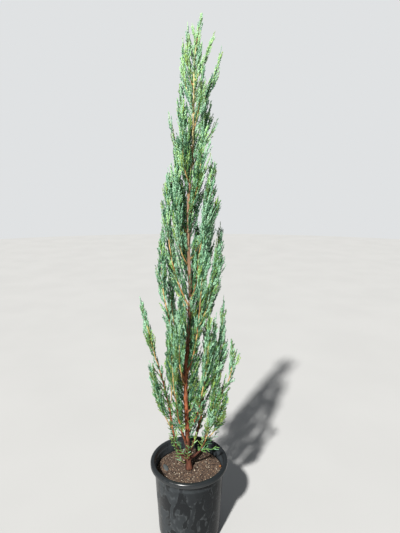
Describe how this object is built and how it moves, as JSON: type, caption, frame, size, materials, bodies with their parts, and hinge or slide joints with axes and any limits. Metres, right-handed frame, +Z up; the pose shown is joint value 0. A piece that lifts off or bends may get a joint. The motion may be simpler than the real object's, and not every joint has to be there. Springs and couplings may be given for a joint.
{
  "type": "potted upright juniper tree",
  "caption": "Slim upright juniper tree with scale-leaf plumes round a thin red-brown trunk, standing in a round plastic nursery pot of soil.",
  "frame": {"origin": "centre of the pot's flat underside, on the surface that the plant stands on", "axes": "+Z up along the trunk, +X to the right and -Y towards the viewer in the front view"},
  "size_m": [0.2309, 0.18, 1.1473],
  "materials": {
    "pot_plastic": "dusty black moulded plastic with water marks",
    "potting_soil": "coarse brown peat and grit",
    "bark": "red-brown scaly bark",
    "foliage": "blue-green scale leaves with a waxy bloom"
  },
  "bodies": {
    "root": {"pot": "pot_plastic", "soil": "potting_soil", "trunk": "bark", "bough_left_lower": "bark", "bough_left_upper": "bark", "bough_right_lower": "bark", "bough_right_upper": "bark", "bough_second_stem": "bark", "bough_second_stem_upper": "bark", "bough_back_left": "bark", "bough_back": "bark", "bough_front_left": "bark", "bough_front_right": "bark", "bough_left_middle": "bark", "bough_right_middle": "bark", "bough_left_high": "bark", "bough_right_high": "bark", "foliage_left_outer": "foliage", "foliage_left_low_outer": "foliage", "foliage_left_low_inner": "foliage", "foliage_right_outer": "foliage", "foliage_right_low_outer": "foliage", "foliage_right_low_inner": "foliage", "foliage_second_outer": "foliage", "foliage_second_upper": "foliage", "foliage_back_left": "foliage", "foliage_back": "foliage", "foliage_front_left": "foliage", "foliage_front_right": "foliage", "foliage_left_middle": "foliage", "foliage_right_middle": "foliage", "foliage_left_high": "foliage", "foliage_right_high": "foliage", "foliage_right_upper": "foliage", "foliage_top_left": "foliage", "foliage_top_left_outer": "foliage", "foliage_top_right": "foliage", "foliage_top_right_outer": "foliage", "foliage_top_back": "foliage", "foliage_leader": "foliage", "foliage_crown_01": "foliage", "foliage_crown_02": "foliage", "foliage_crown_03": "foliage", "foliage_crown_04": "foliage", "foliage_crown_05": "foliage", "foliage_crown_06": "foliage", "foliage_crown_07": "foliage", "foliage_crown_08": "foliage", "foliage_crown_09": "foliage", "foliage_crown_10": "foliage", "foliage_crown_11": "foliage", "foliage_crown_12": "foliage", "foliage_crown_13": "foliage", "foliage_crown_14": "foliage", "foliage_crown_15": "foliage", "foliage_crown_16": "foliage", "foliage_crown_17": "foliage", "foliage_crown_18": "foliage", "foliage_crown_19": "foliage", "foliage_crown_20": "foliage"}
  },
  "joints": []
}
